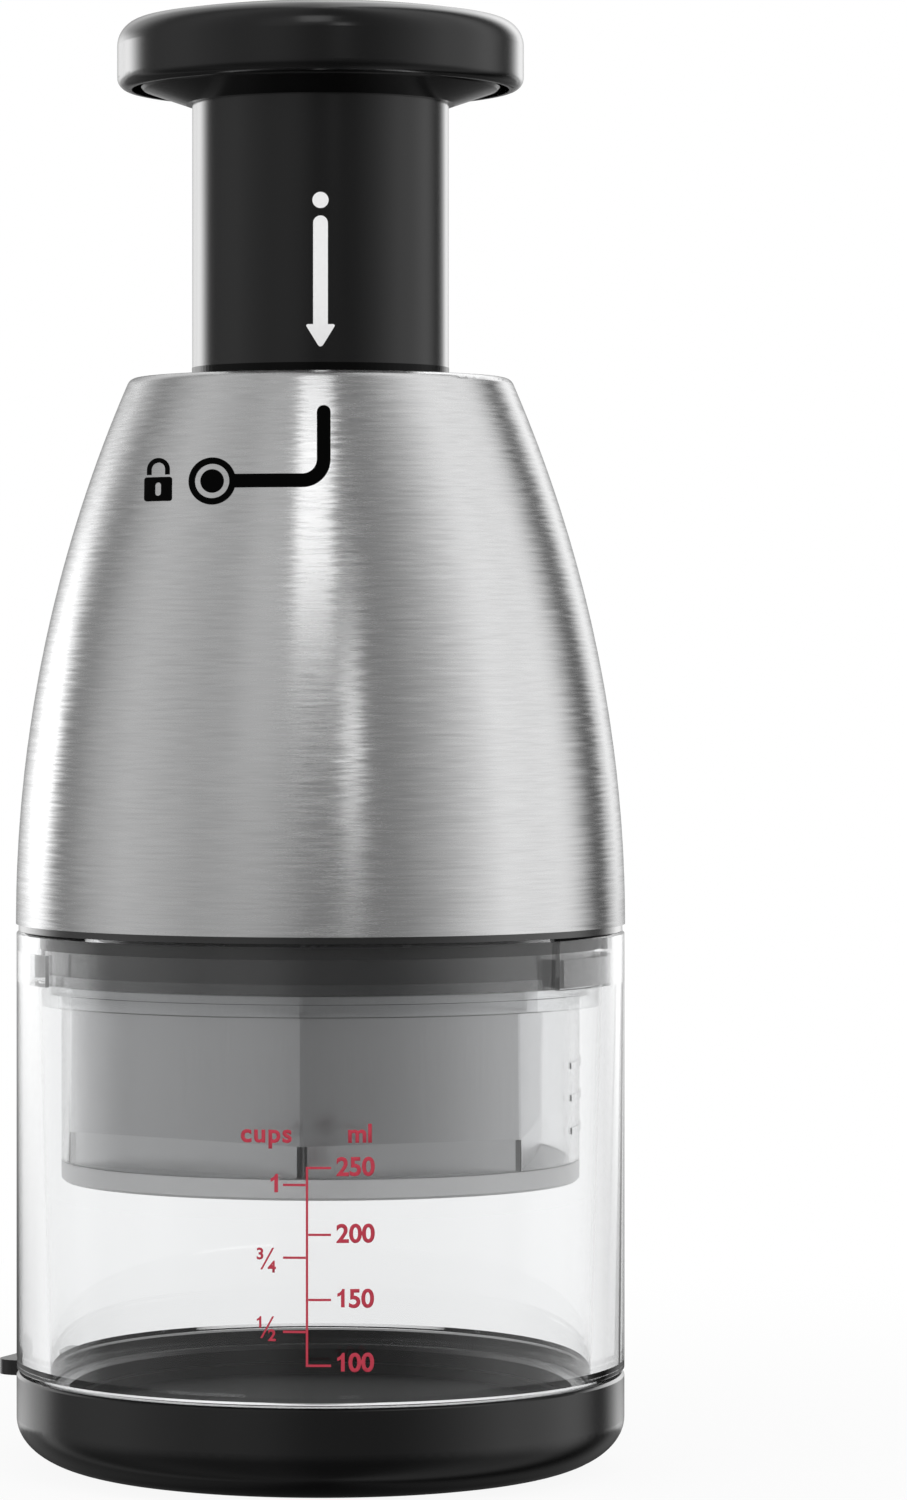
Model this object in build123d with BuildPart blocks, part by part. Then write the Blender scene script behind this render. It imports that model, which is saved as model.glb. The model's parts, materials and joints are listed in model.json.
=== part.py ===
"""Push-down vegetable chopper: base, clear container, steel head, sprung plunger and indexing blades.

Millimetres, +Z up, origin at the middle of the pad that the chopper stands on, front towards -Y.
"""

import math
import os

from build123d import *

# Fits
running_gap = 0.3
seat_gap = 0.05
thread_gap = 0.05
edge_break = 0.4

# Base
body_radius = 46.0
base_rim_height = 14.6
base_foot_radius = 34.4
base_corner_height = 7.6
base_floor_height = 4.5
foot_pad_inset = 2.2
foot_pad_height = 1.8
foot_pad_reach = 0.3
plug_height = 12.8
plug_chamfer = 0.6
tab_angle = 157.5
tab_reach = 6.3
tab_width = 11.0
tab_thickness = 2.3
tab_drop = 0.3
tab_corner = 3.0

# Cutting mat
mat_thickness = 4.0
mat_rim_height = 1.7
mat_rim_width = 1.4

# Container
container_rise = 66.3
container_rim_wall = 3.1
container_draft = 1.8
container_gap = 0.4
spigot_depth = 5.5
spigot_wall = 2.2
base_seal_height = 1.3

# Collar, its bayonet lugs and its seal
collar_depth = 7.6
collar_gap = 1.4
flange_thickness = 1.0
flange_inset = 0.3
lug_height = 4.1
lug_rise = 0.2
lug_bite = 1.0
lug_width = 36.0
lug_angle = -19.0
lug_count = 2
twist_angle = 25.0
slot_margin = 2.0
head_seal_height = 1.7
head_seal_drop = 0.7
head_seal_depth = 0.9

# Guard ring and wiper cup
guard_height = 3.2
guard_wall = 2.7
guard_ledge_height = 1.8
guard_rim_height = 1.6
guard_rim_margin = 5.0
cup_wall = 1.4
cup_lip_reach = 1.3
cup_lip_height = 1.2
cup_floor_height = 3.0
cup_band_height = 7.7
cup_slot_gap = 0.35
skirt_wall = 0.9
skirt_corner_gap = 0.5
ridge_heights = (17.2, 12.4, 7.5)
ridge_width = 1.0
ridge_reach = 0.2
ridge_start = -23.0
ridge_sweep = 23.0

# Blade and its carrier
blade_thickness = 0.9
blade_margin = 1.9
blade_fold_radius = 1.0
blade_tip_thickness = 0.3
blade_bevel_height = 1.4
blade_inset = 3.0
blade_cup_overlap = 0.9
blade_mat_gap = 0.5
fold_angles = (201.0, 137.5, 266.0, 86.0, -42.5, 21.0)
collar_blade_gap = 0.4
carrier_thickness = 4.5
carrier_floor_gap = 2.1
hub_height = 9.0
hub_wall = 2.8
hub_floor = 0.6
hub_top_gap = 1.0
pin_radius = 1.25

# Chassis
deck_rise = 13.7
deck_thickness = 3.0
chassis_foot_height = 2.5
chassis_foot_inset = 0.7
chassis_wall_inset = 0.5
guide_wall = 2.0
gusset_count = 6
gusset_thickness = 2.0
gusset_height = 28.0
gusset_foot_inset = 1.0
lock_angle = 30.0
hook_height = 3.0
hook_gap = 0.56
hook_clear_angle = 4.0

# Collar screws
collar_screw_count = 4
collar_screw_angle = 45.0
collar_screw_radius = 1.0
collar_screw_head_radius = 1.9
collar_screw_head_height = 1.5
collar_screw_recess = 0.1
collar_screw_bite = 7.0

# Stem and its bush
stem_radius = 19.44
stem_wall = 2.24
stem_floor_gap = 1.0
stem_lug_height = 3.3
stem_lug_width = 40.0
stem_web_thickness = 3.0
stem_top_thickness = 3.0
stem_top_rise = 5.8
stem_top_inset = 1.0
bush_wall = 1.81
bush_length = 22.1
bush_flange_height = 1.5
bush_flange_gap = 2.4

# Steel shell
shell_wall = 0.8
shell_overhang = 0.1
shell_hole_gap = 0.46
shell_top_width = 9.4
shell_top_fillet = 1.5

# Knob
knob_gap = 4.5
knob_overhang = 11.36
knob_lip_rise = 2.2
knob_height = 12.8
knob_dome_radius = 165.0
knob_top_fillet = 4.0
knob_lip_fillet = 1.8
knob_wall = 2.2
knob_roof = 5.2
knob_rib_width = 4.0
plate_gap = 1.4
plate_rise = 2.2
plate_edge = 2.6
plate_collar_width = 0.9
plate_step = 1.3
knob_screw_count = 3
knob_screw_circle = 12.5
knob_screw_radius = 1.5
knob_screw_head_radius = 2.7
knob_screw_head_height = 2.2
knob_screw_bite = 5.5
knob_boss_wall = 1.6

# Spindle, index nut and spring
index_angle = 30.0
spindle_square = 9.0
spindle_corner = 0.8
spindle_run_out = 2.0
twist_steps = 9
journal_radius = 4.0
journal_tip = 3.0
nut_height = 2.0
nut_wall = 2.0
nut_flat = 1.0
washer_thickness = 1.0
washer_margin = 1.0
seat_thickness = 3.0
seat_margin = 0.7
circlip_thickness = 1.0
circlip_width = 3.0
circlip_groove_depth = 0.7
circlip_mouth = 70.0
circlip_margin = 1.5
spring_length = 71.0
spring_radius = 11.0
spring_wire = 1.8
spring_turns = 10
spring_end_turns = 1.0
spring_end_pitch = 2.4

# Heights and radii of the base and the container
foot_pad_radius = base_foot_radius - foot_pad_inset
groove_seat_z = base_rim_height + container_gap - spigot_depth
groove_floor_z = groove_seat_z - base_seal_height
mat_top_z = base_floor_height + mat_thickness
shoulder_z = base_rim_height + container_gap
rim_z = shoulder_z + container_rise
container_rim_radius = body_radius - container_rim_wall
container_foot_radius = container_rim_radius - container_draft
spigot_radius = container_foot_radius + spigot_wall
plug_radius = container_foot_radius - running_gap
mat_recess_radius = plug_radius - container_draft - plug_chamfer

# Heights of the head
collar_bottom_z = rim_z - collar_depth
flange_top_z = rim_z + flange_thickness
deck_bottom_z = flange_top_z + deck_rise
deck_top_z = deck_bottom_z + deck_thickness
hub_top_z = deck_bottom_z - hub_top_gap
carrier_bottom_z = hub_top_z - hub_height
blade_top_z = carrier_bottom_z + blade_inset
press_stroke = (carrier_bottom_z - carrier_floor_gap - blade_cup_overlap - blade_mat_gap - mat_top_z) / 2
blade_bottom_z = mat_top_z + blade_mat_gap + press_stroke
cup_bottom_z = blade_bottom_z + blade_cup_overlap - cup_floor_height
guard_bottom_z = collar_bottom_z - guard_height
guard_ledge_z = guard_bottom_z + guard_ledge_height

# Heights of the plunger
stem_bottom_z = deck_top_z + stem_floor_gap + press_stroke
bush_bottom_z = stem_bottom_z + stem_lug_height
bush_flange_z = bush_bottom_z + bush_length
shell_inner_top_z = bush_flange_z + bush_flange_height
shell_top_z = shell_inner_top_z + shell_wall
plate_bottom_z = shell_top_z + knob_gap + press_stroke
knob_bottom_z = plate_bottom_z + knob_lip_rise
knob_top_z = knob_bottom_z + knob_height
stem_step_z = plate_bottom_z + plate_step
stem_top_z = plate_bottom_z + stem_top_rise
stem_roof_z = stem_top_z - stem_top_thickness

# Heights of the spindle
nut_top_z = deck_top_z + nut_height
seat_bottom_z = nut_top_z + spring_length
seat_top_z = seat_bottom_z + seat_thickness
shoulder_top_z = seat_bottom_z - washer_thickness
twist_top_z = nut_top_z + press_stroke + spindle_run_out
spindle_top_z = seat_top_z + journal_tip
twist_rate = -index_angle / press_stroke

# Radii, from the container inwards
guard_radius = container_foot_radius - running_gap + container_draft * (
    (guard_bottom_z - shoulder_z) / container_rise
)
guard_bore = guard_radius - guard_wall
cup_radius = guard_bore - running_gap
cup_lip_radius = cup_radius + cup_lip_reach
cup_inner_radius = cup_radius - cup_wall
blade_radius = cup_inner_radius - blade_margin
skirt_corner_radius = blade_radius + blade_thickness / 2 + skirt_corner_gap
fold_order = sorted(angle % 360 for angle in fold_angles)
fold_steps = [after - before for before, after in zip(fold_order, [*fold_order[1:], fold_order[0] + 360])]
skirt_flat_radius = skirt_corner_radius * math.cos(math.radians(max(fold_steps) / 2))
carrier_radius = skirt_flat_radius - running_gap
collar_radius = container_rim_radius - collar_gap
collar_bore = blade_radius + blade_thickness / 2 + collar_blade_gap
lug_radius = container_rim_radius + lug_bite
head_seal_bore = collar_radius - head_seal_depth
collar_screw_circle = (collar_bore + collar_radius) / 2
chassis_wall_radius = collar_radius - chassis_wall_inset
chassis_bore = collar_bore + chassis_wall_inset + running_gap
shell_radius = body_radius + shell_overhang
shell_top_radius = stem_radius + shell_top_width

# Radii, from the stem outwards
stem_bore = stem_radius - stem_wall
bush_bore = stem_radius + running_gap
guide_bore = bush_bore + bush_wall + seat_gap
guide_radius = guide_bore + guide_wall
stem_lug_radius = guide_bore - running_gap
knob_radius = stem_radius + knob_overhang
plate_radius = knob_radius - knob_wall - plate_gap
square_reach = math.hypot(spindle_square, spindle_square) / 2
hub_radius = square_reach + hub_wall
nut_radius = square_reach + running_gap + nut_wall
nut_flange_radius = spring_radius + spring_wire
circlip_radius = journal_radius - circlip_groove_depth + circlip_width


def lathe_face(*points):
    """Closed half section, given as radius and height, on the plane that is turned about Z."""
    with BuildSketch(Plane.XZ) as section:
        with BuildLine():
            Polyline(*points, close=True)
        make_face()
    return section.sketch


def sector_face(height, inner, outer, start, sweep_angle):
    """Part of a ring at a height, from a start angle round by a sweep angle."""
    with BuildSketch(Plane.XY.offset(height)) as ring_part:
        with BuildLine():
            outer_arc = CenterArc((0, 0), outer, start, sweep_angle)
            inner_arc = CenterArc((0, 0), inner, start, sweep_angle)
            Line(outer_arc @ 0, inner_arc @ 0)
            Line(outer_arc @ 1, inner_arc @ 1)
        make_face()
    return ring_part.sketch


def polar_point(radius, angle):
    """Point on the plan, from its radius and its angle in degrees."""
    return Vector(radius * math.cos(math.radians(angle)), radius * math.sin(math.radians(angle)))


def blade_folds():
    """Corners of the blade's plan, each far enough out that its rounded fold reaches the blade radius."""
    corners = [polar_point(blade_radius, angle) for angle in fold_angles]
    folds = [corners[0]]
    for before, corner, after, angle in zip(corners, corners[1:], corners[2:], fold_angles[1:]):
        back = (before - corner).normalized()
        ahead = (after - corner).normalized()
        half_angle = math.radians(back.get_angle(ahead) / 2)
        fold_middle = polar_point(blade_radius - blade_fold_radius, angle)
        folds.append(fold_middle - (back + ahead).normalized() * (blade_fold_radius / math.sin(half_angle)))
    return [*folds, corners[-1]]


def zigzag_face(height, width):
    """Outline of the folded blade at a height, as wide as given."""
    with BuildSketch(Plane.XY.offset(height)) as outline:
        with BuildLine():
            FilletPolyline(*blade_folds(), radius=blade_fold_radius)
            offset(amount=width / 2, side=Side.BOTH)
        make_face()
    return outline.sketch


def skirt_face(height, limit_radius):
    """Six sided ring from fold to fold round the blade, kept inside a radius."""
    corners = [polar_point(skirt_corner_radius, angle) for angle in fold_order]
    with BuildSketch(Plane.XY.offset(height)) as ring:
        Polygon(*corners, align=None)
        offset(amount=skirt_wall, kind=Kind.INTERSECTION)
        Polygon(*corners, align=None, mode=Mode.SUBTRACT)
        Circle(limit_radius, mode=Mode.INTERSECT)
    return ring.sketch


def square_face(height, side):
    """Section of the twisted spindle at a height."""
    turn = math.radians(twist_rate * (height - hub_top_z))
    plane = Plane((0, 0, height), x_dir=(math.cos(turn), math.sin(turn), 0), z_dir=(0, 0, 1))
    with BuildSketch(plane) as section:
        RectangleRounded(side, side, spindle_corner)
    return section.sketch


def twisted_sections(bottom, top, side):
    """Spindle sections from bottom to top, close enough together to follow the twist."""
    return [
        square_face(bottom + (top - bottom) * step / twist_steps, side) for step in range(twist_steps + 1)
    ]


def finish(piece, name):
    """Label a piece and write it under its name."""
    piece.part.label = name
    export_step(piece.part, f"parts/{name}.step")


os.makedirs("parts", exist_ok=True)

# Base cap: moulded foot with a groove for the container and a pull tab at the back left
with BuildPart() as base_cap:
    base_bottom_z = foot_pad_reach
    corner_z = base_bottom_z + base_corner_height
    foot_recess_radius = foot_pad_radius + seat_gap
    with BuildSketch(Plane.XZ):
        with BuildLine():
            EllipticalCenterArc(
                (base_foot_radius, corner_z),
                body_radius - base_foot_radius,
                base_corner_height,
                start_angle=270,
                arc_size=90,
            )
            Polyline(
                (body_radius, corner_z),
                (body_radius, base_rim_height - edge_break),
                (body_radius - edge_break, base_rim_height),
                (spigot_radius + running_gap, base_rim_height),
                (spigot_radius + running_gap, groove_floor_z),
                (plug_radius, groove_floor_z),
                (plug_radius, plug_height),
                (mat_recess_radius + plug_chamfer, plug_height),
                (mat_recess_radius, plug_height - plug_chamfer),
                (mat_recess_radius, base_floor_height),
                (0, base_floor_height),
                (0, foot_pad_height),
                (foot_recess_radius, foot_pad_height),
                (foot_recess_radius, base_bottom_z),
                (base_foot_radius, base_bottom_z),
            )
        make_face()
    revolve(axis=Axis.Z)
    tab_root = (spigot_radius + running_gap + body_radius) / 2
    tab_length = body_radius + tab_reach - tab_root
    tab_turn = math.radians(tab_angle)
    tab_bottom_z = base_rim_height - tab_drop - tab_thickness
    tab_plane = Plane(
        (0, 0, tab_bottom_z), x_dir=(math.cos(tab_turn), math.sin(tab_turn), 0), z_dir=(0, 0, 1)
    )
    with BuildSketch(tab_plane) as tab:
        with Locations((tab_root + tab_length / 2, 0)):
            Rectangle(tab_length, tab_width)
        fillet(tab.vertices().group_by(Axis.X)[-1], radius=tab_corner)
    extrude(amount=tab_thickness)
finish(base_cap, "base_cap")

# Foot pad: rubber disc in the underside
with BuildPart() as foot_pad:
    Cylinder(foot_pad_radius, foot_pad_height, align=(Align.CENTER, Align.CENTER, Align.MIN))
finish(foot_pad, "foot_pad")

# Base seal: flat ring that the container stands on
with BuildPart() as base_seal:
    revolve(
        lathe_face(
            (container_foot_radius, groove_floor_z),
            (spigot_radius, groove_floor_z),
            (spigot_radius, groove_seat_z),
            (container_foot_radius, groove_seat_z),
        ),
        axis=Axis.Z,
    )
finish(base_seal, "base_seal")

# Cutting mat: loose dished disc in the base
with BuildPart() as cutting_mat:
    mat_radius = mat_recess_radius - running_gap
    revolve(
        lathe_face(
            (0, base_floor_height),
            (mat_radius, base_floor_height),
            (mat_radius, mat_top_z + mat_rim_height),
            (mat_radius - mat_rim_width, mat_top_z + mat_rim_height),
            (mat_radius - mat_rim_width, mat_top_z),
            (0, mat_top_z),
        ),
        axis=Axis.Z,
    )
finish(cutting_mat, "cutting_mat")

# Container: thick clear tube with a spigot below and bayonet slots inside its rim
with BuildPart() as container:
    revolve(
        lathe_face(
            (container_foot_radius, groove_seat_z),
            (spigot_radius, groove_seat_z),
            (spigot_radius, shoulder_z),
            (body_radius - edge_break, shoulder_z),
            (body_radius, shoulder_z + edge_break),
            (body_radius, rim_z - edge_break),
            (body_radius - edge_break, rim_z),
            (container_rim_radius, rim_z),
            (container_foot_radius, shoulder_z),
        ),
        axis=Axis.Z,
    )
    slot_bottom_z = collar_bottom_z + lug_rise - running_gap
    slot_height = lug_height + running_gap * 2
    slot_width = lug_width + slot_margin * 2
    for lug in range(lug_count):
        slot_start = lug_angle + lug * 360 / lug_count - slot_width / 2
        entry = sector_face(
            slot_bottom_z, collar_radius, lug_radius + running_gap, slot_start, slot_width
        )
        extrude(entry, amount=rim_z - slot_bottom_z, mode=Mode.SUBTRACT)
        run = sector_face(
            slot_bottom_z, collar_radius, lug_radius + running_gap, slot_start, slot_width + twist_angle
        )
        extrude(run, amount=slot_height, mode=Mode.SUBTRACT)
finish(container, "container")

# Collar: lower ring of the head with its bayonet lugs and the groove for its seal
with BuildPart() as collar:
    head_seal_top_z = rim_z - head_seal_drop
    head_seal_bottom_z = head_seal_top_z - head_seal_height
    collar_flange_radius = body_radius - flange_inset
    revolve(
        lathe_face(
            (collar_bore, collar_bottom_z),
            (collar_radius, collar_bottom_z),
            (collar_radius, head_seal_bottom_z),
            (head_seal_bore, head_seal_bottom_z),
            (head_seal_bore, head_seal_top_z + seat_gap),
            (collar_radius, head_seal_top_z + seat_gap),
            (collar_radius, rim_z),
            (collar_flange_radius, rim_z),
            (collar_flange_radius, flange_top_z),
            (collar_bore, flange_top_z),
        ),
        axis=Axis.Z,
    )
    for lug in range(lug_count):
        lug_start = lug_angle + lug * 360 / lug_count - lug_width / 2
        lug_face = sector_face(
            collar_bottom_z + lug_rise, head_seal_bore, lug_radius, lug_start, lug_width
        )
        extrude(lug_face, amount=lug_height)
    with Locations(Plane((0, 0, collar_bottom_z), z_dir=(0, 0, -1))):
        with PolarLocations(collar_screw_circle, collar_screw_count, collar_screw_angle):
            CounterBoreHole(
                collar_screw_radius + thread_gap,
                collar_screw_head_radius + thread_gap,
                collar_screw_head_height + collar_screw_recess,
                depth=collar_depth + flange_thickness,
            )
finish(collar, "collar")

# Head seal: ring in the collar groove, facing the container wall
with BuildPart() as head_seal:
    head_seal_level = (head_seal_bottom_z - shoulder_z) / container_rise
    head_seal_radius = container_foot_radius + container_draft * head_seal_level - running_gap
    revolve(
        lathe_face(
            (head_seal_bore + running_gap, head_seal_bottom_z),
            (head_seal_radius, head_seal_bottom_z),
            (head_seal_radius, head_seal_top_z),
            (head_seal_bore + running_gap, head_seal_top_z),
        ),
        axis=Axis.Z,
    )
finish(head_seal, "head_seal")

# Guard ring: clear ring under the collar that carries the wiper cup by its lip
with BuildPart() as guard_ring:
    guard_counterbore = cup_lip_radius + running_gap
    revolve(
        lathe_face(
            (guard_bore, guard_bottom_z),
            (guard_radius, guard_bottom_z),
            (guard_radius, collar_bottom_z),
            (guard_counterbore, collar_bottom_z),
            (guard_counterbore, guard_ledge_z),
            (guard_bore, guard_ledge_z),
        ),
        axis=Axis.Z,
    )
    guard_rim_sweep = 360 / lug_count - lug_width - guard_rim_margin * 2
    for lug in range(lug_count):
        guard_rim_start = lug_angle + lug * 360 / lug_count + lug_width / 2 + guard_rim_margin
        guard_rim = sector_face(
            collar_bottom_z, collar_radius + seat_gap, guard_radius, guard_rim_start, guard_rim_sweep
        )
        extrude(guard_rim, amount=guard_rim_height)
finish(guard_ring, "guard_ring")

# Wiper cup: slotted floor that the blade passes through, hung on the guard ring
with BuildPart() as wiper_cup:
    cup_lip_top_z = guard_ledge_z + cup_lip_height
    cup_floor_z = cup_bottom_z + cup_floor_height
    cup_band_z = cup_bottom_z + cup_band_height
    revolve(
        lathe_face(
            (0, cup_bottom_z),
            (cup_radius - edge_break, cup_bottom_z),
            (cup_radius, cup_bottom_z + edge_break),
            (cup_radius, guard_ledge_z),
            (cup_lip_radius, guard_ledge_z),
            (cup_lip_radius, cup_lip_top_z),
            (cup_inner_radius, cup_lip_top_z),
            (cup_inner_radius, cup_floor_z),
            (0, cup_floor_z),
        ),
        axis=Axis.Z,
    )
    slot = zigzag_face(cup_bottom_z, blade_thickness + cup_slot_gap * 2)
    extrude(slot, amount=cup_floor_height, mode=Mode.SUBTRACT)
    extrude(skirt_face(cup_floor_z, cup_radius - edge_break), amount=cup_band_z - cup_floor_z)
    for ridge_height in ridge_heights:
        ridge = sector_face(
            cup_bottom_z + ridge_height, cup_inner_radius, cup_radius + ridge_reach, ridge_start, ridge_sweep
        )
        extrude(ridge, amount=ridge_width)
finish(wiper_cup, "wiper_cup")

# Blade skirt: six sided grey screen round the blade, standing on the band of the wiper cup
with BuildPart() as blade_skirt:
    extrude(skirt_face(cup_band_z, cup_inner_radius - seat_gap), amount=cup_lip_top_z - cup_band_z)
finish(blade_skirt, "blade_skirt")

# Chassis: frame inside the steel shell with the guide tube, lock hooks and gussets
with BuildPart() as chassis:
    chassis_foot_radius = shell_radius - shell_wall - chassis_foot_inset
    nut_hole = nut_radius + seat_gap
    revolve(
        lathe_face(
            (chassis_bore, flange_top_z),
            (chassis_foot_radius, flange_top_z),
            (chassis_foot_radius, flange_top_z + chassis_foot_height),
            (chassis_wall_radius, flange_top_z + chassis_foot_height),
            (chassis_wall_radius, deck_top_z),
            (guide_radius, deck_top_z),
            (guide_radius, bush_flange_z),
            (guide_bore, bush_flange_z),
            (guide_bore, deck_top_z),
            (0, deck_top_z),
            (0, deck_bottom_z),
            (chassis_bore, deck_bottom_z),
        ),
        axis=Axis.Z,
    )
    with BuildSketch(Plane.XY.offset(deck_bottom_z)):
        Circle(nut_hole)
        Rectangle(nut_hole * 2, (nut_hole - nut_flat) * 2, mode=Mode.INTERSECT)
    extrude(amount=deck_thickness, mode=Mode.SUBTRACT)
    gusset_foot = chassis_wall_radius - gusset_foot_inset
    for gusset in range(gusset_count):
        outward = polar_point(1, gusset * 360 / gusset_count)
        with BuildSketch(Plane((0, 0, 0), x_dir=outward, z_dir=outward.rotate(Axis.Z, -90))):
            with BuildLine():
                Polyline(
                    ((guide_bore + guide_radius) / 2, deck_bottom_z),
                    (gusset_foot, deck_bottom_z),
                    (gusset_foot, deck_top_z),
                    (guide_radius, deck_top_z + gusset_height),
                    ((guide_bore + guide_radius) / 2, deck_top_z + gusset_height),
                    close=True,
                )
            make_face()
        extrude(amount=gusset_thickness / 2, both=True)
    hook_bottom_z = stem_bottom_z - press_stroke + stem_lug_height + running_gap
    hook_start = -stem_lug_width / 2 - hook_clear_angle - lock_angle
    for side_angle in (0, 180):
        hook = sector_face(
            hook_bottom_z,
            stem_radius + hook_gap,
            (guide_bore + guide_radius) / 2,
            hook_start + side_angle,
            lock_angle,
        )
        extrude(hook, amount=hook_height)
    with Locations(Plane((0, 0, flange_top_z), z_dir=(0, 0, -1))):
        with PolarLocations(collar_screw_circle, collar_screw_count, collar_screw_angle):
            Hole(collar_screw_radius + thread_gap, depth=collar_screw_bite + edge_break)
finish(chassis, "chassis")

# Collar screws: hold the collar to the chassis from below
with BuildPart() as collar_screws:
    collar_screw_head_z = collar_bottom_z + collar_screw_recess
    collar_screw_seat_z = collar_screw_head_z + collar_screw_head_height
    with BuildSketch(Plane.XY.offset(collar_screw_head_z)):
        with PolarLocations(collar_screw_circle, collar_screw_count, -collar_screw_angle):
            Circle(collar_screw_head_radius)
    extrude(amount=collar_screw_head_height)
    with BuildSketch(Plane.XY.offset(collar_screw_seat_z)):
        with PolarLocations(collar_screw_circle, collar_screw_count, -collar_screw_angle):
            Circle(collar_screw_radius)
    extrude(amount=flange_top_z + collar_screw_bite - collar_screw_seat_z)
finish(collar_screws, "collar_screws")

# Steel shell: drawn cover over the chassis, clamped between the collar and the bush
with BuildPart() as steel_shell:
    shell_inner_radius = shell_radius - shell_wall
    shell_hole = stem_radius + shell_hole_gap
    with BuildSketch(Plane.XZ) as shell_section:
        with BuildLine():
            outer = TangentArc(
                (shell_radius, flange_top_z), (shell_top_radius, shell_top_z), tangent=(0, 1)
            )
            inner = TangentArc(
                (shell_inner_radius, flange_top_z),
                (shell_top_radius - shell_wall, shell_inner_top_z),
                tangent=(0, 1),
            )
            Polyline(outer @ 1, (shell_hole, shell_top_z), (shell_hole, shell_inner_top_z), inner @ 1)
            Line(outer @ 0, inner @ 0)
        make_face()
        outer_corner = shell_section.vertices().sort_by_distance((shell_top_radius, shell_top_z))[0]
        fillet(outer_corner, radius=shell_top_fillet)
        inner_corner = shell_section.vertices().sort_by_distance(
            (shell_top_radius - shell_wall, shell_inner_top_z)
        )[0]
        fillet(inner_corner, radius=shell_top_fillet / 2)
    revolve(axis=Axis.Z)
finish(steel_shell, "steel_shell")

# Stem bush: plain bearing for the stem, and the stop that its lugs come up against
with BuildPart() as stem_bush:
    bush_flange_radius = shell_top_radius - shell_wall - bush_flange_gap
    revolve(
        lathe_face(
            (bush_bore, bush_bottom_z),
            (bush_bore + bush_wall, bush_bottom_z),
            (bush_bore + bush_wall, bush_flange_z),
            (bush_flange_radius, bush_flange_z),
            (bush_flange_radius, shell_inner_top_z),
            (bush_bore, shell_inner_top_z),
        ),
        axis=Axis.Z,
    )
finish(stem_bush, "stem_bush")

# Index nut: twisted square bore that turns the spindle as it is pushed down
with BuildPart() as index_nut:
    with BuildSketch(Plane.XY.offset(deck_bottom_z)):
        Circle(nut_radius)
        Rectangle(nut_radius * 2, (nut_radius - nut_flat) * 2, mode=Mode.INTERSECT)
    extrude(amount=deck_thickness)
    with BuildSketch(Plane.XY.offset(deck_top_z)):
        Circle(nut_flange_radius)
    extrude(amount=nut_height)
    bore_sections = twisted_sections(
        deck_bottom_z - edge_break, nut_top_z + edge_break, spindle_square + running_gap * 2
    )
    loft(bore_sections, ruled=True, mode=Mode.SUBTRACT)
finish(index_nut, "index_nut")

# Spindle: twisted square shaft with a round shoulder and a journal for the spring seat
with BuildPart() as spindle:
    hub_seat_z = blade_top_z + hub_floor
    pin_z = (hub_seat_z + hub_top_z) / 2
    with BuildSketch(Plane.XY.offset(hub_seat_z)):
        RectangleRounded(spindle_square, spindle_square, spindle_corner)
    extrude(amount=hub_top_z - hub_seat_z)
    loft(twisted_sections(hub_top_z, twist_top_z, spindle_square), ruled=True)
    with BuildSketch(Plane.XY.offset(twist_top_z)):
        Circle(square_reach)
    extrude(amount=shoulder_top_z - twist_top_z)
    circlip_groove_z = seat_top_z + seat_gap
    circlip_groove_top_z = circlip_groove_z + circlip_thickness + seat_gap
    groove_radius = journal_radius - circlip_groove_depth
    revolve(
        lathe_face(
            (0, shoulder_top_z),
            (journal_radius, shoulder_top_z),
            (journal_radius, circlip_groove_z),
            (groove_radius, circlip_groove_z),
            (groove_radius, circlip_groove_top_z),
            (journal_radius, circlip_groove_top_z),
            (journal_radius, spindle_top_z - edge_break),
            (journal_radius - edge_break, spindle_top_z),
            (0, spindle_top_z),
        ),
        axis=Axis.Z,
    )
    with BuildSketch(Plane.YZ):
        with Locations((0, pin_z)):
            Circle(pin_radius + seat_gap)
    extrude(amount=hub_radius, both=True, mode=Mode.SUBTRACT)
finish(spindle, "spindle")

# Blade carrier: disc on the foot of the spindle that the blade is moulded into
with BuildPart() as blade_carrier:
    with BuildSketch(Plane.XY.offset(carrier_bottom_z)):
        Circle(carrier_radius)
    extrude(amount=carrier_thickness)
    with BuildSketch(Plane.XY.offset(carrier_bottom_z)):
        Circle(hub_radius)
    extrude(amount=hub_height)
    with BuildSketch(Plane.XY.offset(hub_seat_z)):
        RectangleRounded(spindle_square + seat_gap * 2, spindle_square + seat_gap * 2, spindle_corner)
    extrude(amount=hub_top_z - hub_seat_z, mode=Mode.SUBTRACT)
    with BuildSketch(Plane.YZ):
        with Locations((0, pin_z)):
            Circle(pin_radius + seat_gap)
    extrude(amount=hub_radius, both=True, mode=Mode.SUBTRACT)
    blade_slot = zigzag_face(carrier_bottom_z, blade_thickness + seat_gap * 2)
    extrude(blade_slot, amount=blade_inset, mode=Mode.SUBTRACT)
finish(blade_carrier, "blade_carrier")

# Spindle pin: cross pin through the hub and the spindle
with BuildPart() as spindle_pin:
    with BuildSketch(Plane.YZ):
        with Locations((0, pin_z)):
            Circle(pin_radius)
    extrude(amount=hub_radius - edge_break, both=True)
finish(spindle_pin, "spindle_pin")

# Zigzag blade: one folded strip of steel, ground to an edge below
with BuildPart() as zigzag_blade:
    bevel_top_z = blade_bottom_z + blade_bevel_height
    tip = zigzag_face(blade_bottom_z, blade_tip_thickness)
    body = zigzag_face(bevel_top_z, blade_thickness)
    loft([tip, body], ruled=True)
    extrude(zigzag_face(bevel_top_z, blade_thickness), amount=blade_top_z - bevel_top_z)
finish(zigzag_blade, "zigzag_blade")

# Thrust washer: between the spindle shoulder and the spring seat
with BuildPart() as thrust_washer:
    with BuildSketch(Plane.XY.offset(shoulder_top_z)):
        Circle(spring_radius - spring_wire / 2 - washer_margin)
        Circle(journal_radius + running_gap, mode=Mode.SUBTRACT)
    extrude(amount=washer_thickness)
finish(thrust_washer, "thrust_washer")

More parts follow.
